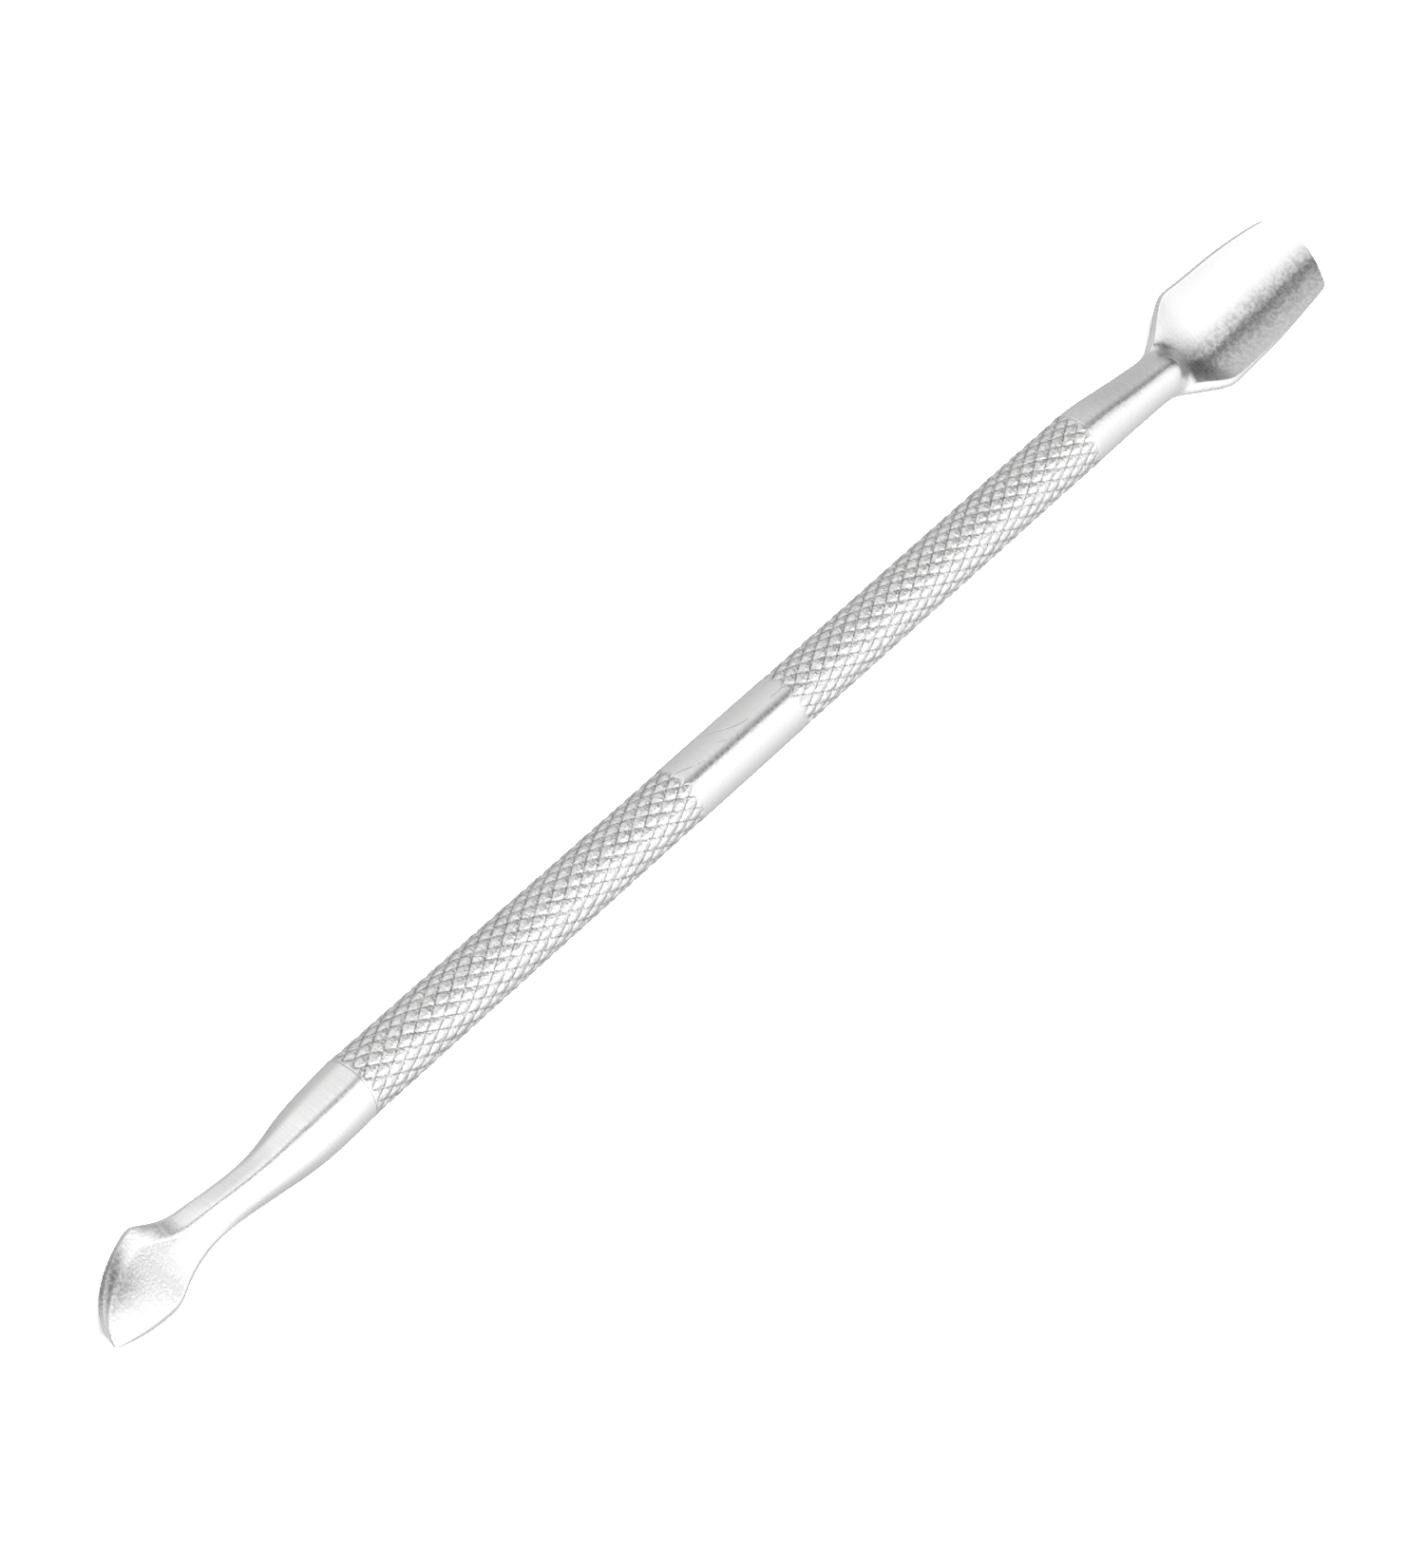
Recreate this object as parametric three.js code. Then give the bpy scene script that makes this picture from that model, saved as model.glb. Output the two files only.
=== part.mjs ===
// Double-ended steel cuticle pusher, in millimetres, +Z up.
// The tool lies along X with its scoop at +X, hollow side up, and its blade at -X.
// A knurled handle is bored at both ends, and each working tip has a round spigot
// that is pressed into its bore until the tip's shoulder meets the handle's end.
import * as THREE from 'three';
import { ParametricGeometry } from 'three/addons/geometries/ParametricGeometry.js';

// ---- driving dimensions ----------------------------------------------------------
const BAND_RADIUS = 2.3; // plain band in the middle of the handle
const BAND_LENGTH = 10.6;
const HANDLE_HALF_LENGTH = 38.7;
const PUSHER_GRIP_RADIUS = 2.27; // over the knurl's crests at the scoop's end
const SCRAPER_GRIP_RADIUS = 2.4; // the grip swells a little towards the blade
const HANDLE_SIDES = 48;
const END_CHAMFER = 0.12;

const SPIGOT_RADIUS = 1.5;
const SPIGOT_LENGTH = 12;
const BORE_CLEARANCE = 0.02;
const BORE_DEPTH = SPIGOT_LENGTH + 0.2;
const SPIGOT_LEAD_IN = 0.4;

const ARC_STEPS = 12; // steps across the upper and across the lower half of a section
const STEPS_PER_STATION = 4;

// A station is one cross-section of a tip: its left and right edges in plan, the
// height of the edges, the rise of the upper face above them (negative where the
// face is hollow), the depth of the lower face under them, and the width of the rim
// between the two faces.
const KEYS = ['leftX', 'leftY', 'rightX', 'rightY', 'edgeZ', 'rise', 'depth', 'rim'];
const PUSHER_STATIONS = [
  [38.7, 2.2, 38.7, -2.22, 0, 2.2, 2.22, 0],
  [41, 2.12, 41, -2.24, -0.04, 2.14, 2.18, 0],
  [44, 1.76, 44, -2.24, -0.16, 1.94, 2.02, 0],
  [47, 1.43, 47, -2.27, -0.33, 1.78, 1.9, 0],
  [48.5, 1.4, 48.5, -2.45, -0.4, 1.5, 1.92, 0.12],
  [49.7, 1.85, 49.7, -2.95, -0.42, -0.2, 1.98, 0.5],
  [51.2, 2.8, 51.2, -3.75, -0.42, -1.2, 2.05, 0.62],
  [53, 3.88, 53, -4.58, -0.42, -1.36, 2.1, 0.5],
  [55, 3.93, 55, -4.63, -0.44, -1.3, 2.08, 0.34],
  [58.5, 3.84, 58.5, -4.5, -0.52, -1.15, 1.86, 0.22],
  [62, 3.6, 62, -4.2, -0.66, -0.96, 1.5, 0.16],
  [64.6, 3.26, 64.6, -3.92, -0.78, -0.8, 1.14, 0.12],
  [65.3, 3.02, 65.3, -3.8, -0.82, -0.76, 0.98, 0.06],
];
const SCRAPER_STATIONS = [
  [-38.7, 2.36, -38.7, -2.36, 0, 2.36, 2.36, 0],
  [-41, 2.26, -41, -2.5, 0, 2.3, 2.36, 0],
  [-44, 1.92, -44, -2.46, 0, 2.05, 2.2, 0],
  [-47, 1.36, -47, -2.12, 0.02, 1.66, 1.86, 0],
  [-50, 1.33, -50, -1.74, 0.1, 1.16, 1.6, 0],
  [-52.6, 1.58, -52.6, -1.6, 0.22, 0.6, 1.34, 0],
  [-54.8, 1.92, -54.8, -1.95, 0.3, 0.16, 1.08, 0],
  [-56.4, 2.72, -56.4, -2.52, 0.3, 0, 0.92, 0],
  [-57.4, 2.9, -57.6, -3.04, 0.3, 0, 0.82, 0],
  [-59.4, 2.22, -58.9, -3.16, 0.3, 0, 0.7, 0],
  [-61.7, 0.8, -60.4, -3.04, 0.3, 0, 0.54, 0],
  [-62.95, -0.9, -61.8, -2.78, 0.3, 0, 0.34, 0],
  [-63.25, -2.2, -63.1, -2.42, 0.3, 0, 0.1, 0],
];
const FRONT_EDGE_BULGE = 1.8; // how far the scoop's lip stands forward of its corners
const BULGE_STARTS_AT = 58.5;

// ---- shape helpers ---------------------------------------------------------------
const slope = (before, after) => (before * after > 0 ? (2 * before * after) / (before + after) : 0);

// One column of the station list at position t, as a curve that never overshoots.
function columnAt(stations, column, t) {
  const value = (index) => stations[THREE.MathUtils.clamp(index, 0, stations.length - 1)][column];
  const first = Math.min(Math.floor(t), stations.length - 2);
  const [a, b, c, d] = [value(first - 1), value(first), value(first + 1), value(first + 2)];
  const s = t - first;
  const startSlope = slope(b - a, c - b);
  const endSlope = slope(c - b, d - c);
  return b + s * s * (3 - 2 * s) * (c - b)
    + s * (1 - s) * (1 - s) * startSlope
    - s * s * (1 - s) * endSlope;
}

function stationAt(stations, t) {
  return Object.fromEntries(KEYS.map((key, column) => [key, columnAt(stations, column, t)]));
}

// A face's line across one section: q runs from -1 at the left edge to 1 at the right.
// Half a circle where the height equals the half width, a flatter arc where it is less.
function arc(q, halfWidth, height) {
  const halfAngle = Math.max(2 * Math.atan(Math.abs(height) / halfWidth), 0.02);
  return {
    across: Math.sin(q * halfAngle) / Math.sin(halfAngle),
    up: height * (Math.cos(q * halfAngle) - Math.cos(halfAngle)) / (1 - Math.cos(halfAngle)),
  };
}

// A point of the section's outline: side 0 is the lower face, side 1 the upper face.
function sectionPoint(section, side, q, bulge, target) {
  const halfWidth = Math.hypot(section.leftX - section.rightX, section.leftY - section.rightY) / 2;
  const inset = side === 1 ? section.rim / halfWidth : 0;
  const height = side === 1 ? section.rise : -section.depth;
  const line = arc(q, halfWidth * (1 - inset), height);
  const across = line.across * (1 - inset);
  target.set(
    THREE.MathUtils.lerp(section.leftX, section.rightX, (1 + across) / 2) + bulge * (1 - across * across),
    THREE.MathUtils.lerp(section.leftY, section.rightY, (1 + across) / 2),
    section.edgeZ + line.up,
  );
}

// A closed tip: a spigot with a lead-in, then the stations, then an edge where the
// lower face meets the upper one. direction is 1 for the +X tip and -1 for the -X tip.
function tipGeometry(stations, direction, bulgeAt) {
  const shoulderX = stations[0][0];
  const spigotEnd = shoulderX - direction * SPIGOT_LENGTH;
  const spigot = [
    [spigotEnd, 0],
    [spigotEnd, SPIGOT_RADIUS - SPIGOT_LEAD_IN / 2],
    [spigotEnd + direction * SPIGOT_LEAD_IN, SPIGOT_RADIUS],
    [shoulderX, SPIGOT_RADIUS],
  ];
  const stationSteps = (stations.length - 1) * STEPS_PER_STATION;
  const rings = spigot.length + stationSteps + 1;
  const pointsAround = 2 * (ARC_STEPS + 1);
  const lower = new THREE.Vector3();

  const place = (u, v, target) => {
    const ring = Math.round(v * rings);
    const index = Math.round((direction > 0 ? 1 - u : u) * pointsAround) % pointsAround;
    const side = index > ARC_STEPS ? 1 : 0;
    const step = side === 1 ? pointsAround - 1 - index : index;
    const q = (2 * step) / ARC_STEPS - 1;
    if (ring < spigot.length) {
      const [x, radius] = spigot[ring];
      const angle = (q * Math.PI) / 2;
      target.set(x, -radius * Math.sin(angle), (side === 1 ? 1 : -1) * radius * Math.cos(angle));
      return;
    }
    const t = Math.min(ring - spigot.length, stationSteps) / STEPS_PER_STATION;
    const section = stationAt(stations, t);
    const bulge = bulgeAt(section);
    sectionPoint(section, side, q, bulge, target);
    if (ring === rings) {
      sectionPoint(section, 1 - side, q, bulge, lower);
      target.lerp(lower, 0.5);
    }
  };
  return new ParametricGeometry(place, pointsAround, rings);
}

function handleGeometry() {
  const bore = SPIGOT_RADIUS + BORE_CLEARANCE;
  const boreEnd = HANDLE_HALF_LENGTH - BORE_DEPTH;
  const profile = [
    [0, -boreEnd],
    [bore, -boreEnd],
    [bore, -HANDLE_HALF_LENGTH],
    [SCRAPER_GRIP_RADIUS - END_CHAMFER, -HANDLE_HALF_LENGTH],
    [SCRAPER_GRIP_RADIUS, -HANDLE_HALF_LENGTH + END_CHAMFER],
    [BAND_RADIUS, -BAND_LENGTH],
    [BAND_RADIUS, BAND_LENGTH / 2],
    [PUSHER_GRIP_RADIUS, BAND_LENGTH],
    [PUSHER_GRIP_RADIUS, HANDLE_HALF_LENGTH - END_CHAMFER],
    [PUSHER_GRIP_RADIUS - END_CHAMFER, HANDLE_HALF_LENGTH],
    [bore, HANDLE_HALF_LENGTH],
    [bore, boreEnd],
    [0, boreEnd],
  ].map(([radius, x]) => new THREE.Vector2(radius, x));
  return new THREE.LatheGeometry(profile, HANDLE_SIDES).rotateZ(-Math.PI / 2);
}

// ---- the assembly ----------------------------------------------------------------
function steelPart(name, geometry, color, roughness) {
  const material = new THREE.MeshStandardMaterial({ color, roughness, metalness: 1 });
  const mesh = new THREE.Mesh(geometry, material);
  mesh.name = name;
  return mesh;
}

const lipBulge = (section) => FRONT_EDGE_BULGE
  * THREE.MathUtils.smoothstep(section.leftX, BULGE_STARTS_AT, PUSHER_STATIONS.at(-1)[0]);
const noBulge = () => 0;

const cuticlePusher = new THREE.Group();
cuticlePusher.add(
  steelPart('handle', handleGeometry(), 0xd2d2d0, 0.34),
  steelPart('pusher_tip', tipGeometry(PUSHER_STATIONS, 1, lipBulge), 0xdcdcda, 0.28),
  steelPart('scraper_tip', tipGeometry(SCRAPER_STATIONS, -1, noBulge), 0xd8d8d6, 0.3),
);

// The origin is the middle of the space the tool takes, on the surface it lies on.
const extent = new THREE.Box3().setFromObject(cuticlePusher);
const centre = extent.getCenter(new THREE.Vector3());
cuticlePusher.position.set(-centre.x, -centre.y, -extent.min.z);
cuticlePusher.updateMatrixWorld(true);

export default cuticlePusher;
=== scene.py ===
import math

import bmesh
import bpy
import numpy as np
from mathutils import Matrix, Vector


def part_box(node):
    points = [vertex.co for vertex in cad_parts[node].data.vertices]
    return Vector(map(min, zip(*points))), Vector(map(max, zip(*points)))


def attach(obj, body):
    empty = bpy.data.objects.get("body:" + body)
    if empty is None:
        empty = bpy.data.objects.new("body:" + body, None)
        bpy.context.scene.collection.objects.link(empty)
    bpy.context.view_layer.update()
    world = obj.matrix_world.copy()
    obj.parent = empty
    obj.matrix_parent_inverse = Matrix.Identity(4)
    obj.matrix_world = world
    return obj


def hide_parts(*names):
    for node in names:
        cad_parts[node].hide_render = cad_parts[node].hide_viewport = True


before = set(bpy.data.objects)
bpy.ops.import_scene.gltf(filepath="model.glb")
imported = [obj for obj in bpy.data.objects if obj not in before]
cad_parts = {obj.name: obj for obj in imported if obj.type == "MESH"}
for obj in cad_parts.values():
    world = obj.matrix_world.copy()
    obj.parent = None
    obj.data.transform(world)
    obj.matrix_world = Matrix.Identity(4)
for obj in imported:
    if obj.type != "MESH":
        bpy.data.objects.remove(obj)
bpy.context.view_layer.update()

# A double-ended steel cuticle pusher: a knurled handle with a scoop pressed into one
# end and a blade into the other. Every size below is in millimetres, counted from the
# middle of the handle's plain band: x along the handle towards the scoop, y across it
# and z up, out of the scoop's hollow.
MM = 0.001
handle_low, handle_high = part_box("handle")
BAND_MIDDLE = (handle_low + handle_high) / 2
HANDLE_END = (handle_high.x - handle_low.x) / 2 / MM

# ---- the handle's sizes ------------------------------------------------------------
STARTS = 15  # knurl grooves round the handle, of each hand
KNURL_ROWS = 40  # an even number, so that both ends of a grip have the same ring
KNURL_STEPS = 6  # mesh steps along one side of a knurl's diamond
ROW_LENGTH = 0.8325
CROWDING = 0.065  # how far the mesh steps are drawn towards the grooves
GRIP_STARTS = (-38.6, 5.3)
GRIP_RADII = ((2.4, 2.3), (2.28, 2.27))
RUN_OUTS = ((0.2, 0.5), (0.5, 0.2))  # how far the grooves take to fade, at each grip's ends
ROUND_END = 0.1  # no groove has its full depth closer than this to a grip's end
GROOVE_WEAR = (0.75, 1.1)  # the shares of its full depth that a groove varies between
GRIP_WELD = 2e-6  # metres: points this close, of a grip and the turned body, are one
BAND_COLLAR = 0.3  # the straight part of the band next to each grip
END_CHAMFER = 0.02
BORE_RADIUS = 1.52
BORE_DEPTH = 12.2

# ---- the tips' sizes ---------------------------------------------------------------
SPIGOT_RADIUS = 1.5
SPIGOT_LENGTH = 12
ARC_STEPS = 16
STEPS_PER_STATION = 6
TIP_WELD = 4e-6  # metres: points this close are one

# A station is one cross-section of a tip: its left and right edges in plan, the height
# of the edges, the rise of the upper face above them (negative where it is hollow),
# the depth of the lower face under them, the width of the rim between the faces, where
# across the upper face its highest or lowest line runs (-1 left, 1 right), how wide a
# flat is ground to the left of that line, how far the section bows forward, and how
# much lower its right edge lies than its left.
LEFT_X, LEFT_Y, RIGHT_X, RIGHT_Y, EDGE_Z, RISE, DEPTH, RIM, APEX, FLAT, BOW, DROP = range(12)
PUSHER_STATIONS = (
    (38.7, 2.265, 38.7, -2.265, 0, 2.265, 2.265, 0, 0, 0, 0, 0),
    (41, 2.12, 41, -2.24, -0.04, 2.14, 2.18, 0, 0, 0, 0, 0),
    (44, 1.76, 44, -2.24, -0.16, 1.94, 2.02, 0, 0.02, 0, 0.1, 0),
    (47, 1.43, 47, -2.27, -0.33, 1.72, 1.9, 0, 0.03, 0, 0.6, 0),
    (48.5, 1.4, 48.5, -2.45, -0.364, 1.36, 1.92, 0.05, 0.05, 0, 0.9, 0.08),
    (49.7, 1.85, 49.7, -2.95, -0.307, 0.1, 1.98, 0.4, 0.12, 0, 0.9, 0.25),
    (51.2, 2.8, 51.3, -3.75, -0.217, -0.85, 2.05, 0.6, 0.25, 0, 0.6, 0.45),
    (53, 3.88, 53.2, -4.58, -0.15, -1.45, 2.1, 0.5, 0.32, 0, 0.25, 0.6),
    (55, 3.93, 55.2, -4.63, -0.161, -1.579, 2.08, 0.34, 0.28, 0, 0, 0.62),
    (58.5, 3.84, 58.7, -4.5, -0.268, -1.402, 1.86, 0.24, 0.26, 0, 0, 0.56),
    (62, 3.6, 62.2, -4.2, -0.453, -1.167, 1.5, 0.2, 0.26, 0, 0.94, 0.46),
    (64.6, 3.26, 64.8, -3.92, -0.618, -0.962, 1.14, 0.2, 0.26, 0, 1.75, 0.36),
    (65.3, 3.02, 65.55, -3.8, -0.685, -0.895, 0.98, 0.16, 0.26, 0, 1.8, 0.3),
)
SCRAPER_STATIONS = (
    (-38.7, 2.395, -38.7, -2.395, 0, 2.395, 2.395, 0, 0, 0.375, 0, 0),
    (-41, 2.26, -41, -2.5, 0, 2.3, 2.36, 0, 0, 0.375, 0, 0),
    (-44, 1.92, -44, -2.46, 0, 2.05, 2.2, 0, -0.05, 0.375, 0, 0),
    (-47, 1.36, -47, -2.12, 0.02, 1.66, 1.86, 0, -0.15, 0.5, 0, 0),
    (-50, 1.33, -50, -1.74, 0.08, 1.2, 1.58, 0.03, -0.15, 0.675, 0, 0),
    (-52.6, 1.58, -52.6, -1.6, 0.13, 0.68, 1.26, 0.14, -0.15, 0.875, 0, 0),
    (-54.8, 1.92, -54.8, -1.95, 0.16, 0.26, 0.9, 0.26, -0.2, 0.875, 0, 0),
    (-56.4, 2.72, -56.4, -2.52, 0.19, 0.1, 0.72, 0.28, -0.35, 0.45, 0, 0),
    (-57.4, 2.9, -57.6, -3.04, 0.22, 0.03, 0.62, 0.28, -0.5, 0, 0, 0),
    (-59.4, 2.22, -58.9, -3.16, 0.2, 0.12, 0.52, 0.28, -0.52, 0, 0, 0),
    (-61.7, 0.8, -60.4, -3.04, 0.2, 0.2, 0.4, 0.28, -0.55, 0, 0, 0),
    (-62.95, -0.9, -61.8, -2.78, 0.24, 0.1, 0.28, 0.22, -0.5, 0, 0, 0),
    (-63.25, -2.2, -63.1, -2.42, 0.27, 0.03, 0.1, 0.08, -0.3, 0, 0, 0),
)
RIDGE = -0.15  # where a ground flat ends, just left of the highest line
RIM_CREASE = 0.5
RIM_TILT = 0.3  # how steeply a rim falls outwards
LEFT_RIM = 0.21  # the widest that the left rim gets
EDGE_WIDTH = 0.19  # the rounded outer edge of a rim, in plan and in height
EDGE_HEIGHT = 0.36
EDGE_SHARE = 0.7  # the most of a section's depth that the rounded edge takes
FULL_EDGE_RIM = 0.2  # a rim narrower than this has a smaller rounded edge
CREASED_RIM = 0.02  # a rim narrower than this is left to smooth over

# ---- the view ----------------------------------------------------------------------
VIEW_TILT = math.radians(30)  # the line of sight leans this far towards the blade's end
VIEW_ROLL = math.radians(41.84)  # the handle's slope across the picture
VIEW_DISTANCE = 414.9
VIEW_AIM = (-1.0, -1.53, 0.89)  # along the handle, then along and across the picture
LENS = 138.5


def place(x, y, z):
    """A point of the tool, given in millimetres, where it lies in metres."""
    return BAND_MIDDLE + Vector((x, y, z)) * MM


def new_piece(name, mesh):
    """An object at the origin, unturned: its place is in its mesh."""
    piece = bpy.data.objects.new(name, mesh)
    bpy.context.scene.collection.objects.link(piece)
    return piece


# ---- node trees --------------------------------------------------------------------
class Tree:
    """Adds nodes to a node tree, each with its values or links given as arguments."""

    def __init__(self, tree):
        self.tree = tree

    def node(self, kind, inputs=(), **settings):
        made = self.tree.nodes.new(kind)
        for name, value in settings.items():
            setattr(made, name, value)
        for key, value in dict(inputs).items():
            self.feed(made.inputs[key], value)
        return made

    def feed(self, socket, value):
        if isinstance(value, bpy.types.NodeSocket):
            self.tree.links.new(value, socket)
        else:
            socket.default_value = value

    def math(self, operation, *values):
        return self.node("ShaderNodeMath", enumerate(values), operation=operation).outputs[0]

    def scale(self, value, start, end, first, last, kind="LINEAR"):
        """The level first up to start, last from end on, and a passage between them."""
        return self.node("ShaderNodeMapRange", {
            "Value": value, "From Min": start, "From Max": end, "To Min": first, "To Max": last,
        }, interpolation_type=kind).outputs[0]

    def ease(self, value, start, end, first, last):
        return self.scale(value, start, end, first, last, "SMOOTHSTEP")

    def within(self, value, start, full, fading, end):
        """Nought up to start, one from full to fading, and nought again from end on."""
        rising = self.ease(value, start, full, 0.0, 1.0)
        return self.math("MULTIPLY", rising, self.ease(value, fading, end, 1.0, 0.0))


# ---- the knurl ---------------------------------------------------------------------
KNURL_INPUTS = (
    ("Body", "Geometry", None),
    ("Axis", "Vector", (0, 0, 0)),
    ("Start", "Float", 0),
    ("Row length", "Float", ROW_LENGTH * MM),
    ("Rows", "Int", KNURL_ROWS),
    ("Starts", "Int", STARTS),
    ("Steps", "Int", KNURL_STEPS),
    ("Crowding", "Float", CROWDING),
    ("First radius", "Float", 2.3 * MM),
    ("Last radius", "Float", 2.3 * MM),
    ("Groove depth", "Float", 0.13 * MM),
    ("Groove width", "Float", 0.12),
    ("Pad roundness", "Float", 2.2),
    ("First run-out", "Float", 0.5 * MM),
    ("Last run-out", "Float", 0.5 * MM),
    ("Seed", "Float", 0),
)


def knurl_group():
    """An empty node group with the knurl's named inputs and its one output."""
    group = bpy.data.node_groups.new("diamond knurl", "GeometryNodeTree")
    for name, kind, default in KNURL_INPUTS:
        socket = group.interface.new_socket(name, in_out="INPUT", socket_type="NodeSocket" + kind)
        if default is not None:
            socket.default_value = default
    group.interface.new_socket("Grip", in_out="OUTPUT", socket_type="NodeSocketGeometry")
    return group


def groove_fade(tree, given, rows, wander):
    """One along the grip, and nought at its ends, where the grooves run out unevenly."""
    calc = tree.math
    to_end = calc("SUBTRACT", given["Rows"], rows)
    fades = []
    for rows_off, run_out in ((rows, given["First run-out"]), (to_end, given["Last run-out"])):
        off_end = calc("MULTIPLY", rows_off, given["Row length"])
        late = calc("MULTIPLY", calc("SUBTRACT", wander, 0.35), run_out)
        fades.append(tree.ease(calc("SUBTRACT", off_end, late), 0.0, run_out, 0.0, 1.0))
        fades.append(tree.ease(off_end, 0.0, ROUND_END * MM, 0.0, 1.0))
    fade = fades[0]
    for other in fades[1:]:
        fade = calc("MULTIPLY", fade, other)
    return fade


def mark_points(tree, mesh, name, level):
    """The mesh with a level at each point that the steel can read."""
    return tree.node("GeometryNodeStoreNamedAttribute", {
        "Geometry": mesh, "Name": name, "Value": level,
    }, data_type="FLOAT", domain="POINT").outputs[0]


def knurl_tree(steel):
    """A grip: a lattice of diamonds wrapped round the axis and joined to the turned body.

    The lattice counts grooves. A point at a along one hand of groove and b along the
    other lies at a + b rows from the grip's start, turned by a - b half starts."""
    group = knurl_group()
    tree = Tree(group)
    given = tree.node("NodeGroupInput").outputs
    calc = tree.math

    grid = tree.node("GeometryNodeMeshGrid", {
        "Size X": 1.0,
        "Size Y": 1.0,
        "Vertices X": calc("ADD", calc("MULTIPLY", given["Starts"], given["Steps"]), 1),
        "Vertices Y": calc("ADD", calc("MULTIPLY", given["Rows"], given["Steps"]), 1),
    })
    position = tree.node("GeometryNodeInputPosition").outputs[0]
    at = tree.node("ShaderNodeSeparateXYZ", {0: position}).outputs
    right_hand = calc("MULTIPLY", calc("ADD", at["X"], 0.5), given["Starts"])
    rows = calc("MULTIPLY", calc("ADD", at["Y"], 0.5), given["Rows"])
    left_hand = calc("SUBTRACT", rows, right_hand)

    def crowd(value):
        wave = calc("SINE", calc("MULTIPLY", value, 2 * math.pi))
        return calc("SUBTRACT", value, calc("MULTIPLY", wave, given["Crowding"]))

    def off_groove(value):
        return calc("ABSOLUTE", calc("SUBTRACT", value, calc("ROUND", value)))

    a, b = crowd(right_hand), crowd(left_hand)
    along = calc("ADD", calc("MULTIPLY", calc("ADD", a, b), given["Row length"]), given["Start"])
    turn = calc("DIVIDE", calc("MULTIPLY", calc("SUBTRACT", a, b), math.pi), given["Starts"])
    gap_a, gap_b = off_groove(a), off_groove(b)
    groove = calc(
        "MAXIMUM",
        tree.ease(gap_a, 0.0, given["Groove width"], 1.0, 0.0),
        tree.ease(gap_b, 0.0, given["Groove width"], 1.0, 0.0),
    )
    low_a, low_b = [
        calc("POWER", calc("SUBTRACT", 1, calc("MULTIPLY", gap, 2)), given["Pad roundness"])
        for gap in (gap_a, gap_b)
    ]
    between = calc("SUBTRACT", calc("ADD", low_a, low_b), calc("MULTIPLY", low_a, low_b))

    spot = tree.node("ShaderNodeCombineXYZ", {
        "X": calc("MULTIPLY", rows, 0.1), "Y": calc("SINE", turn), "Z": calc("COSINE", turn),
    })
    wander = tree.node("ShaderNodeTexNoise", {
        "Vector": spot.outputs[0], "W": given["Seed"], "Scale": 2.5, "Detail": 2.0,
    }, noise_dimensions="4D").outputs[0]
    fade = groove_fade(tree, given, rows, wander)
    worn = calc("MULTIPLY", given["Groove depth"], tree.ease(wander, 0.3, 0.7, *GROOVE_WEAR))
    sunk = calc("MULTIPLY", fade, calc("MULTIPLY", worn, between))
    share = calc("DIVIDE", rows, given["Rows"])
    swell = calc("MULTIPLY", calc("SUBTRACT", given["Last radius"], given["First radius"]), share)
    radius = calc("SUBTRACT", calc("ADD", given["First radius"], swell), sunk)
    wrapped = tree.node("ShaderNodeCombineXYZ", {
        "X": along,
        "Y": calc("MULTIPLY", calc("MULTIPLY", calc("SINE", turn), radius), -1),
        "Z": calc("MULTIPLY", calc("COSINE", turn), radius),
    })
    centred = tree.node("ShaderNodeVectorMath", {
        0: wrapped.outputs[0], 1: given["Axis"],
    }, operation="ADD")

    # the groove level, which the steel reads for rougher grooves and for a darkening that is part
    # dirt and part painted shade
    marked = mark_points(tree, grid.outputs["Mesh"], "groove", calc("MULTIPLY", fade, groove))
    marked = mark_points(tree, marked, "knurl", fade)
    moved = tree.node("GeometryNodeSetPosition", {
        "Geometry": marked, "Position": centred.outputs[0],
    })
    cut = tree.node("GeometryNodeTriangulate", {"Mesh": moved.outputs[0]})
    joined = tree.node("GeometryNodeJoinGeometry")
    tree.feed(joined.inputs[0], cut.outputs[0])
    tree.feed(joined.inputs[0], given["Body"])
    merged = tree.node("GeometryNodeMergeByDistance", {
        "Geometry": joined.outputs[0], "Distance": GRIP_WELD,
    })
    smooth = tree.node("GeometryNodeSetShadeSmooth", {
        "Geometry": merged.outputs[0], "Shade Smooth": True,
    })
    real = tree.node("GeometryNodeRealizeInstances", {"Geometry": smooth.outputs[0]})
    coated = tree.node("GeometryNodeSetMaterial", {"Geometry": real.outputs[0], "Material": steel})
    tree.node("NodeGroupOutput", {"Grip": coated.outputs[0]})
    return group


def ring_turns():
    """The angles of a grip's end ring, which the turned body's rings have too."""
    steps = np.arange(STARTS * KNURL_STEPS) / KNURL_STEPS
    crowded = steps - CROWDING * np.sin(2 * math.pi * steps)
    return crowded * 2 * math.pi / STARTS


def add_turned(bm, profile):
    """Turns a profile of (x, radius) points round the handle's axis into an open shell."""
    turns = ring_turns()
    rings = []
    for x, radius in profile:
        if radius == 0:
            rings.append([bm.verts.new(place(x, 0, 0))] * len(turns))
        else:
            rings.append([
                bm.verts.new(place(x, -radius * math.sin(turn), radius * math.cos(turn)))
                for turn in turns
            ])
    add_strips(bm, rings)


def add_strips(bm, rings):
    """Faces between each ring and the next. Points that coincide leave no face."""
    for first, second in zip(rings, rings[1:]):
        for k in range(len(first)):
            corners = (first[k], first[k - 1], second[k - 1], second[k])
            distinct = list(dict.fromkeys(corners))
            if len(distinct) > 2:
                bm.faces.new(distinct)


def finished_mesh(bm, name):
    mesh = bpy.data.meshes.new(name)
    bm.to_mesh(mesh)
    bm.free()
    mesh.shade_smooth()
    return mesh


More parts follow.
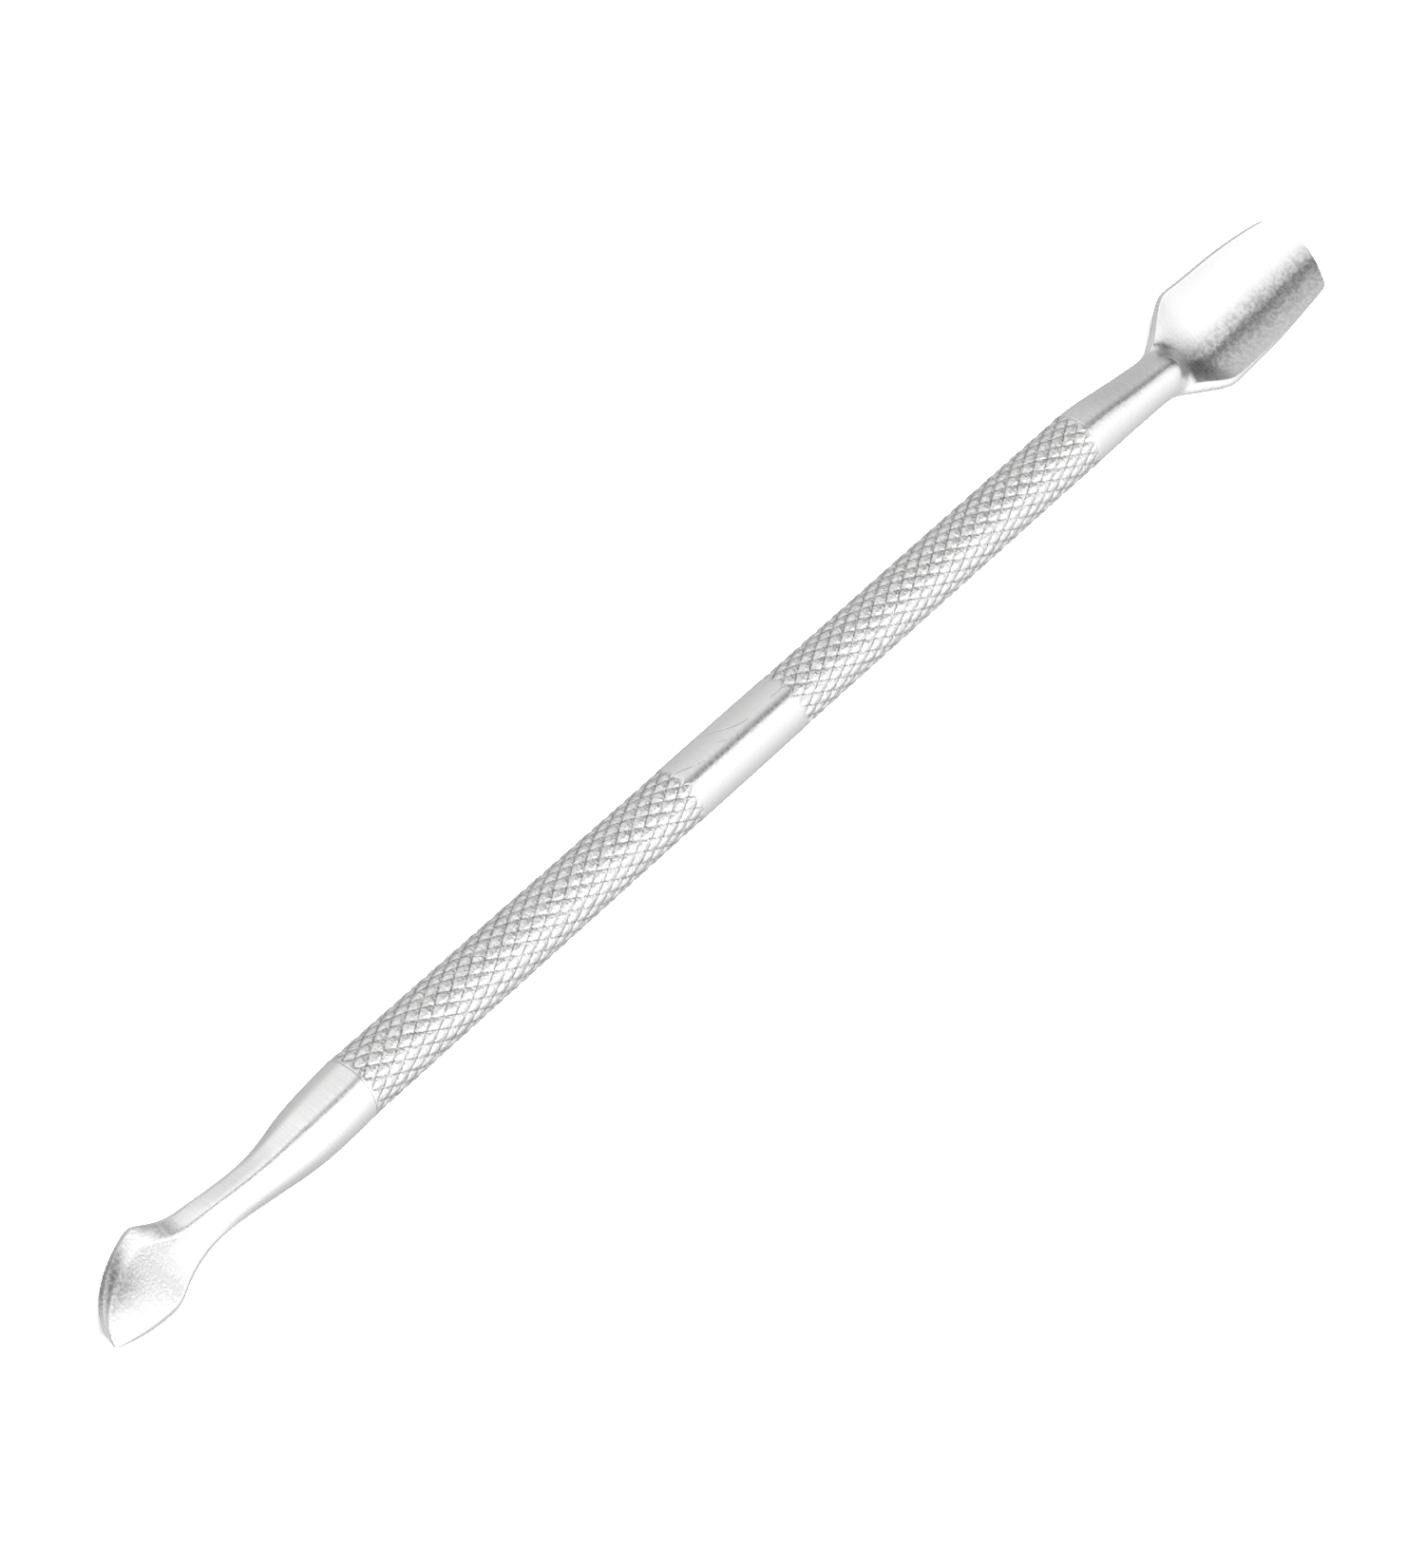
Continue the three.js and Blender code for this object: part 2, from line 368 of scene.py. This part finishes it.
def turned_body():
    """The handle's bored ends and its band, open where the knurled grips go."""
    (first_a, last_a), (first_b, last_b) = GRIP_RADII
    start_a, start_b = GRIP_STARTS
    grip = KNURL_ROWS * ROW_LENGTH
    bore_end = HANDLE_END - BORE_DEPTH
    bm = bmesh.new()
    add_turned(bm, (
        (-bore_end, 0),
        (-bore_end, BORE_RADIUS),
        (-HANDLE_END, BORE_RADIUS),
        (-HANDLE_END, first_a - END_CHAMFER),
        (-HANDLE_END + END_CHAMFER, first_a),
        (start_a, first_a),
    ))
    add_turned(bm, (
        (start_a + grip, last_a),
        (start_a + grip + BAND_COLLAR, last_a),
        (0, last_a),
        (start_b - BAND_COLLAR, first_b),
        (start_b, first_b),
    ))
    add_turned(bm, (
        (start_b + grip, last_b),
        (HANDLE_END - END_CHAMFER, last_b),
        (HANDLE_END, last_b - END_CHAMFER),
        (HANDLE_END, BORE_RADIUS),
        (bore_end, BORE_RADIUS),
        (bore_end, 0),
    ))
    return new_piece("turned body", finished_mesh(bm, "turned body"))


def make_handle(steel):
    """The turned body, then a knurled grip on each side of its band."""
    turned = turned_body()
    group = knurl_tree(steel)
    sockets = {item.name: item.identifier for item in group.interface.items_tree}
    for number, (start, radii, run_outs) in enumerate(zip(GRIP_STARTS, GRIP_RADII, RUN_OUTS)):
        knurl = turned.modifiers.new(f"grip {number}", "NODES")
        knurl.node_group = group
        knurl[sockets["Axis"]] = (0.0, BAND_MIDDLE.y, BAND_MIDDLE.z)
        knurl[sockets["Start"]] = BAND_MIDDLE.x + start * MM
        knurl[sockets["First radius"]] = radii[0] * MM
        knurl[sockets["Last radius"]] = radii[1] * MM
        knurl[sockets["First run-out"]] = run_outs[0] * MM
        knurl[sockets["Last run-out"]] = run_outs[1] * MM
        knurl[sockets["Seed"]] = float(number)
    depsgraph = bpy.context.evaluated_depsgraph_get()
    mesh = bpy.data.meshes.new_from_object(turned.evaluated_get(depsgraph))
    turned.modifiers.clear()
    bpy.data.objects.remove(turned)
    facing_out(mesh)
    mesh.materials.clear()
    mesh.materials.append(steel)
    return new_piece("handle_body", mesh)


def facing_out(mesh):
    """Turns every face of a closed mesh outwards."""
    bm = bmesh.new()
    bm.from_mesh(mesh)
    bmesh.ops.recalc_face_normals(bm, faces=bm.faces)
    bm.to_mesh(mesh)
    bm.free()


# ---- the tips ----------------------------------------------------------------------
def smooth_stations(stations):
    """The stations with more between them, on a curve of even bend."""
    knots = np.array(stations, float)
    count = len(knots)
    system = np.eye(count)
    right = np.zeros_like(knots)
    for k in range(1, count - 1):
        system[k, k - 1 : k + 2] = 1, 4, 1
        right[k] = 6 * (knots[k - 1] - 2 * knots[k] + knots[k + 1])
    bend = np.linalg.solve(system, right)
    rows = []
    for k in range(count - 1):
        for s in np.arange(STEPS_PER_STATION) / STEPS_PER_STATION:
            r = 1 - s
            rows.append(
                knots[k] * r + knots[k + 1] * s
                + (r**3 - r) * bend[k] / 6 + (s**3 - s) * bend[k + 1] / 6
            )
    rows.append(knots[-1])
    for row in rows:
        row[RIM] = max(row[RIM], 0)
        row[FLAT] = max(row[FLAT], 0)
    return rows


def arc(q, half_width, height):
    """How far across and up a face is at q, from -1 at its left edge to 1 at its right:
    half a circle where the height equals the half width, a flatter arc where it's less."""
    half_angle = min(max(2 * math.atan(abs(height) / half_width), 0.02), math.pi / 2)
    across = math.sin(q * half_angle) / math.sin(half_angle)
    up = height * (math.cos(q * half_angle) - math.cos(half_angle)) / (1 - math.cos(half_angle))
    return across, up


def ground_arc(q, half_width, height, flat):
    """The left part of an upper face, with a flat ground from its ridge outwards."""
    start = max(RIDGE - flat, -1)
    if not start < q < RIDGE:
        return arc(q, half_width, height)
    share = (q - start) / (RIDGE - start)
    ends = zip(arc(start, half_width, height), arc(RIDGE, half_width, height))
    return [first + (last - first) * share for first, last in ends]


def half_width_of(row):
    return math.hypot(row[LEFT_X] - row[RIGHT_X], row[LEFT_Y] - row[RIGHT_Y]) / 2


def face_point(row, upper, q):
    """A point of a section's upper or lower face, in the tool's millimetres."""
    half_width = half_width_of(row)
    if upper:
        rim = row[RIM] if q > 0 else min(row[RIM], LEFT_RIM)
        side = math.copysign(1 - rim / half_width, q)
        apex = row[APEX]
        side_width = abs(side - apex)
        drop = row[DROP] if q > 0 else 0
        across, up = ground_arc(q, half_width * side_width, row[RISE] + drop, row[FLAT])
        across = apex + across * side_width
        up += RIM_TILT * rim * abs(q) + row[DROP] * (1 + across) / 2 - drop
    else:
        across, up = arc(q, half_width, edge_height(row) - row[DEPTH])
        up -= edge_height(row)
    return section_point(row, across, up)


def edge_size(row):
    """The share of the full rounded edge that a section has: none if it has no rim."""
    return min(row[RIM] / FULL_EDGE_RIM, 1)


def edge_height(row):
    return min(EDGE_HEIGHT * edge_size(row), EDGE_SHARE * row[DEPTH])


def edge_point(row, side):
    """Where the rim's outer edge starts to round over: side is -1 or 1."""
    inset = EDGE_WIDTH * edge_size(row) / half_width_of(row)
    return section_point(row, side * (1 - inset), 0)


def section_point(row, across, up):
    """The point across (-1 left, 1 right) and up from the line between the two edges."""
    share = (1 + across) / 2
    up -= row[DROP] * share
    x = row[LEFT_X] * (1 - share) + row[RIGHT_X] * share + row[BOW] * (1 - across**2)
    y = row[LEFT_Y] * (1 - share) + row[RIGHT_Y] * share
    return Vector((x, y, row[EDGE_Z] + up))


FACE_STEPS = [2 * k / ARC_STEPS - 1 for k in range(ARC_STEPS + 1)]
OUTLINE_SIZE = 2 * len(FACE_STEPS) + 2
RIM_EDGES = (0, len(FACE_STEPS) - 1, len(FACE_STEPS) + 1, OUTLINE_SIZE - 2)


def spigot_outline(x):
    """A circle with as many points as a section's outline has."""
    def at(q, side):
        turn = q * math.pi / 2
        return Vector((x, -SPIGOT_RADIUS * math.sin(turn), side * SPIGOT_RADIUS * math.cos(turn)))
    lower = [at(q, -1) for q in FACE_STEPS]
    upper = [at(q, 1) for q in reversed(FACE_STEPS)]
    return lower + [upper[0]] + upper + [lower[0]]


def section_outline(row):
    """A section's lower face, its right edge, its upper face and its left edge."""
    lower = [face_point(row, False, q) for q in FACE_STEPS]
    upper = [face_point(row, True, q) for q in reversed(FACE_STEPS)]
    return lower + [edge_point(row, 1)] + upper + [edge_point(row, -1)]


def closing_line(outline):
    """The line that a tip ends in, halfway between its last lower and upper faces."""
    across = [(2 * len(FACE_STEPS) - k) % OUTLINE_SIZE for k in range(OUTLINE_SIZE)]
    return [(point + outline[k]) / 2 for point, k in zip(outline, across)]


def crease_rims(bm, crease, rows, rings):
    """Keeps the rims' long edges crisp, and the shoulder where the spigot starts sharp."""
    shoulder = rings[0]
    for row, first, second in zip(rows, rings, rings[1:]):
        if row[RIM] > CREASED_RIM:
            for k in RIM_EDGES:
                bm.edges.get((first[k], second[k]))[crease] = RIM_CREASE
    for k in range(OUTLINE_SIZE):
        bm.edges.get((shoulder[k - 1], shoulder[k]))[crease] = 1.0


def tip_mesh(name, stations):
    """A spigot, its shoulder, then the stations, closed by an edge at the far end."""
    shoulder = stations[0][LEFT_X]
    end = shoulder - math.copysign(SPIGOT_LENGTH, shoulder)
    rows = smooth_stations(stations)
    outlines = [spigot_outline(end), spigot_outline(shoulder)]
    outlines += [section_outline(row) for row in rows]
    outlines.append(closing_line(outlines[-1]))
    bm = bmesh.new()
    crease = bm.edges.layers.float.new("crease_edge")
    spigot_centre = [bm.verts.new(place(end, 0, 0))] * OUTLINE_SIZE
    rings = [[bm.verts.new(place(*point)) for point in outline] for outline in outlines]
    add_strips(bm, [spigot_centre] + rings)
    crease_rims(bm, crease, rows, rings[2:])
    bmesh.ops.remove_doubles(bm, verts=bm.verts, dist=TIP_WELD)
    bmesh.ops.recalc_face_normals(bm, faces=bm.faces)
    return finished_mesh(bm, name)


def make_tip(name, stations, steel):
    """A whole tip, smoothed by subdivision that its creases hold back."""
    mesh = tip_mesh(name, stations)
    mesh.materials.append(steel)
    piece = new_piece(name, mesh)
    rounding = piece.modifiers.new("rounding", "SUBSURF")
    rounding.levels = 2
    rounding.render_levels = 2
    return piece


def make_scoop(steel):
    return make_tip("pusher_scoop", PUSHER_STATIONS, steel)


def make_blade(steel):
    return make_tip("scraper_blade", SCRAPER_STATIONS, steel)


# ---- steel -------------------------------------------------------------------------
SCRATCHES_ACROSS = (0.3, 1.1, 0.0)  # how many scratches are crossed in a millimetre
SCRATCH_WIDTH = 0.07  # from its middle, as a share of the way to the next one
SCRATCHED = (0.5, 1.1, 1.8, 2.15)  # where they start, are full, fade and end, to the left
SCRATCH_DARKNESS = 10  # how dark a scratch looks for each millimetre of its depth
KNURL_BURR = 0.1  # the height of the burrs and dents that knurling leaves on its pads
# where the marks and the painted shade darken the steel most, this share of its colour is left
DARKEST = 0.36  # the share of a steel's colour that is left where it is dullest

# A painted shade is a darker patch painted onto the steel where it shows a dark reflection: how
# dark it is, and where it starts, is full, starts to fade and ends, along the handle and across it.
SCOOP_PAINTED_SHADE = (0.55, (49.5, 52.5, 70, 71), (0.3, -1.4, -2.3, -5))
BLADE_PAINTED_SHADE = (0.65, (-58.0, -60.2, -61.6, -63.2), (-1.4, 1.0, 4, 5))


def noise(tree, where, stretch, detail=2.0):
    """A random pattern: stretch says how many spots there are in a millimetre, by axis."""
    vector = tree.node("ShaderNodeMapping", {
        "Vector": where, "Scale": tuple(s / MM for s in stretch),
    })
    return tree.node("ShaderNodeTexNoise", {
        "Vector": vector.outputs[0], "Scale": 1.0, "Detail": detail,
    }).outputs[0]


def stray_scratches(tree, where, left):
    """One on the wandering lines of the scratches, in the patches that have them."""
    calc = tree.math
    lines = tree.node("ShaderNodeVectorMath", {
        0: where, 1: tuple(s / MM for s in SCRATCHES_ACROSS),
    }, operation="DOT_PRODUCT").outputs["Value"]
    lines = calc("MULTIPLY_ADD", noise(tree, where, (0.2, 0.2, 0.2)), 2.5, lines)
    off_line = calc("ABSOLUTE", calc("SUBTRACT", calc("FRACT", lines), 0.5))
    on_line = tree.ease(off_line, 0.0, SCRATCH_WIDTH, 1.0, 0.0)
    patches = tree.ease(noise(tree, where, (0.25, 0.6, 0.6)), 0.42, 0.5, 0.0, 1.0)
    return calc("MULTIPLY", on_line, calc("MULTIPLY", patches, tree.within(left, *SCRATCHED)))


def add_painted_shade(tree, marks_and_painted_shade, painted_shade, along, left, speckle):
    """The marks' darkening with the painted shade added, a little speckled."""
    level, reach_along, reach_across = painted_shade
    shaded = tree.math("MULTIPLY", tree.within(along, *reach_along), tree.within(left, *reach_across))
    speckled = tree.ease(speckle, 0.4, 0.6, 1.3 * level, 0.7 * level)
    return tree.math("MULTIPLY_ADD", shaded, speckled, marks_and_painted_shade)


def steel_material(name, colour, roughness, turning, mottle, scratches, grain, painted_shade=None):
    """Bright steel with marks from turning or grinding round the tool's axis, a mottle
    left by hand polishing and stray scratches, whose heights are in millimetres. The
    grain is how many mottles there are in a millimetre."""
    material = bpy.data.materials.new(name)
    material.use_nodes = True
    tree = Tree(material.node_tree)
    shader = material.node_tree.nodes["Principled BSDF"]
    shader.inputs["Metallic"].default_value = 1.0
    calc = tree.math
    where = tree.node("ShaderNodeTexCoord").outputs["Object"]
    axes = tree.node("ShaderNodeSeparateXYZ", {0: where}).outputs
    along = calc("DIVIDE", calc("SUBTRACT", axes["X"], BAND_MIDDLE.x), MM)
    left = calc("DIVIDE", calc("SUBTRACT", axes["Y"], BAND_MIDDLE.y), MM)

    lathe = noise(tree, where, (8.0, 0.5, 0.5), detail=3.0)
    marks = tree.ease(lathe, 0.35, 0.65, 0.0, 1.0)
    speckle = noise(tree, where, (grain, grain, grain), detail=4.0)
    scratch = stray_scratches(tree, where, left)
    knurl = tree.node("ShaderNodeAttribute", attribute_name="knurl").outputs["Fac"]
    groove = tree.node("ShaderNodeAttribute", attribute_name="groove").outputs["Fac"]

    height = calc("MULTIPLY", lathe, turning)
    mottle = calc("MULTIPLY_ADD", knurl, KNURL_BURR, mottle)
    height = calc("MULTIPLY_ADD", speckle, mottle, height)
    height = calc("MULTIPLY_ADD", scratch, -scratches, height)
    bump = tree.node("ShaderNodeBump", {"Height": height, "Strength": 1.0, "Distance": MM})
    tree.feed(shader.inputs["Normal"], bump.outputs[0])

    rough = calc("MULTIPLY_ADD", marks, 0.1, roughness)
    rough = calc("MULTIPLY_ADD", groove, 0.15, rough)
    tree.feed(shader.inputs["Roughness"], rough)

    marks_and_painted_shade = calc("MULTIPLY", scratch, SCRATCH_DARKNESS * scratches)
    marks_and_painted_shade = calc("MULTIPLY_ADD", marks, 0.05, marks_and_painted_shade)
    # the knurl's grooves darkened, speckled: part dirt, part painted shade in the recesses
    marks_and_painted_shade = calc("MULTIPLY_ADD", groove, tree.ease(speckle, 0.4, 0.6, 0.4, 1.3), marks_and_painted_shade)
    # a speckled patch of painted shade, where the steel shows a dark reflection
    if painted_shade:
        marks_and_painted_shade = add_painted_shade(tree, marks_and_painted_shade, painted_shade, along, left, speckle)
    tint = tree.node("ShaderNodeMix", {
        "Factor": marks_and_painted_shade, "A": (*colour, 1), "B": (*(DARKEST * c for c in colour), 1),
    }, data_type="RGBA")
    tree.feed(shader.inputs["Base Color"], tint.outputs["Result"])
    return material


def knurled_steel():
    """The handle's steel, turned on a lathe and knurled."""
    return steel_material(
        "knurled_steel", colour=(0.88, 0.88, 0.875), roughness=0.18,
        turning=0.003, mottle=0.008, scratches=0.02, grain=4,
    )


def polished_steel():
    """The scoop's steel, polished by hand, with painted shade on one side of the hollow."""
    return steel_material(
        "polished_steel", colour=(0.9, 0.9, 0.895), roughness=0.21,
        turning=0.0002, mottle=0.018, scratches=0.001, grain=3, painted_shade=SCOOP_PAINTED_SHADE,
    )


def ground_steel():
    """The blade's steel, ground flat and left with the marks of the wheel, with a patch of painted
    shade near its left edge.
    """
    return steel_material(
        "ground_steel", colour=(0.9, 0.9, 0.895), roughness=0.22,
        turning=0.0028, mottle=0.012, scratches=0.001, grain=5, painted_shade=BLADE_PAINTED_SHADE,
    )


# ---- the studio --------------------------------------------------------------------
# How bright the studio is round the handle's axis, by degrees from straight up, where
# plus is towards the blade's pointed side, and how that changes along the handle.
STUDIO = (
    (-180, 0.45), (-130, 0.66), (-86, 0.7), (-69, 0.75), (-54, 0.78), (-38, 0.85), (-30, 0.8),
    (-20, 0.44), (-14, 0.22), (-7, 0.22), (-3, 0.9), (1, 1.2), (42, 1.2), (54, 1.11),
    (69, 1.02), (86, 0.92), (105, 0.8), (130, 0.7), (180, 0.45),
)
STUDIO_ALONG = (
    (-1, 1.0), (0, 1.4), (0.28, 1.28), (0.5, 1.0), (0.7, 0.82), (0.86, 0.5), (1, 0.15),
)
OVERHEAD = (-0.3, 0.3, -0.6, 1.0)  # what is brighter along the handle is so only overhead
BESIDE = (0.0, 0.3, 0.0, 0.85)  # what is darker along it is hardly so at the tool's right


def ramp(tree, value, stops, low, high):
    """A colour ramp as a curve: the value runs from low to high, the levels from nought."""
    share = tree.math("DIVIDE", tree.math("SUBTRACT", value, low), high - low)
    made = tree.node("ShaderNodeValToRGB", {0: share})
    brightest = max(level for _, level in stops)
    elements = made.color_ramp.elements
    while len(elements) < len(stops):
        elements.new(0.5)
    for element, (position, level) in zip(elements, stops):
        element.position = (position - low) / (high - low)
        element.color = (level / brightest,) * 3 + (1,)
    grey = tree.node("ShaderNodeRGBToBW", {0: made.outputs[0]}).outputs[0]
    return tree.math("MULTIPLY", grey, brightest)


def make_studio():
    """The light all round: bright overhead, with one dark strip that the steel reflects."""
    world = bpy.data.worlds.new("studio")
    bpy.context.scene.world = world
    world.use_nodes = True
    tree = Tree(world.node_tree)
    background = world.node_tree.nodes["Background"]
    background.inputs["Color"].default_value = (1, 1, 1, 1)
    direction = tree.node("ShaderNodeTexCoord").outputs["Generated"]
    way = tree.node("ShaderNodeSeparateXYZ", {0: direction}).outputs
    across = tree.math("MULTIPLY", way["Y"], -1)
    angle = tree.math("DEGREES", tree.math("ARCTAN2", across, way["Z"]))
    round_axis = ramp(tree, angle, STUDIO, -180, 180)
    along_axis = ramp(tree, way["X"], STUDIO_ALONG, -1, 1)
    overhead = tree.scale(way["Z"], *OVERHEAD)
    brighter = tree.math("MAXIMUM", tree.math("SUBTRACT", along_axis, 1), 0)
    darker = tree.math("MINIMUM", along_axis, 1)
    beside = tree.scale(across, *BESIDE)
    darker = tree.math("MULTIPLY_ADD", tree.math("SUBTRACT", 1, darker), beside, darker)
    level = tree.math("MULTIPLY", round_axis, tree.math("MULTIPLY_ADD", brighter, overhead, darker))
    tree.feed(background.inputs["Strength"], level)


LAMP_SIDE = 0.9  # metres
LAMP_PLACE = (0.1, -0.1, 0.9)
LAMP_POWER = 80.0


def make_lamp():
    """A square softbox over the tool, facing straight down."""
    lamp = bpy.data.lights.new("softbox", "AREA")
    lamp.shape = "RECTANGLE"
    lamp.size = LAMP_SIDE
    lamp.size_y = LAMP_SIDE
    lamp.energy = LAMP_POWER
    softbox = bpy.data.objects.new("softbox", lamp)
    softbox.location = LAMP_PLACE
    softbox.visible_glossy = False
    bpy.context.scene.collection.objects.link(softbox)


FLOOR_PROFILE = ((3.6, 0), (4.1, 0.08), (4.5, 0.3), (4.75, 0.7), (4.8, 1.4))  # metres
FLOOR_SIDES = 96


def make_floor():
    """A round sheet of paper, flat in the middle and turned up all round behind the tool."""
    turns = [2 * math.pi * k / FLOOR_SIDES for k in range(FLOOR_SIDES)]
    bm = bmesh.new()
    rings = []
    for radius, height in FLOOR_PROFILE:
        rings.append([
            bm.verts.new((radius * math.cos(turn), radius * math.sin(turn), height))
            for turn in turns
        ])
    bm.faces.new(rings[0])
    add_strips(bm, rings)
    floor = new_piece("floor", finished_mesh(bm, "floor"))
    paper = bpy.data.materials.new("pale paper")
    paper.use_nodes = True
    shader = paper.node_tree.nodes["Principled BSDF"]
    shader.inputs["Base Color"].default_value = (0.86, 0.86, 0.86, 1)
    shader.inputs["Roughness"].default_value = 0.9
    shader.inputs["Specular IOR Level"].default_value = 0.1
    floor.data.materials.append(paper)
    floor.visible_glossy = False


def make_camera():
    """Looks down on the tool from its blade's end, and the tool runs up to the right."""
    back = Vector((-math.sin(VIEW_TILT), 0, math.cos(VIEW_TILT)))
    along = Vector((math.cos(VIEW_TILT), 0, math.sin(VIEW_TILT)))
    across = Vector((0, -1, 0))
    right = math.cos(VIEW_ROLL) * along + math.sin(VIEW_ROLL) * across
    up = math.sin(VIEW_ROLL) * along - math.cos(VIEW_ROLL) * across
    handle_x, aim_along, aim_across = VIEW_AIM
    aim = place(handle_x, 0, 0) + (aim_along * along + aim_across * across) * MM
    data = bpy.data.cameras.new("camera")
    data.sensor_width = 36
    data.lens = LENS
    data.clip_start = 0.01
    camera = bpy.data.objects.new("camera", data)
    turn = Matrix((right, up, back)).transposed().to_4x4()
    camera.matrix_world = Matrix.Translation(aim + back * VIEW_DISTANCE * MM) @ turn
    bpy.context.scene.collection.objects.link(camera)
    bpy.context.scene.camera = camera


make_camera()
make_floor()
make_studio()
make_lamp()
bpy.context.scene.view_settings.view_transform = "Standard"

handle = make_handle(knurled_steel())
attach(handle, "root")
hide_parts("handle")

pusher = make_scoop(polished_steel())
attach(pusher, "root")
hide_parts("pusher_tip")

scraper = make_blade(ground_steel())
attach(scraper, "root")
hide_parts("scraper_tip")
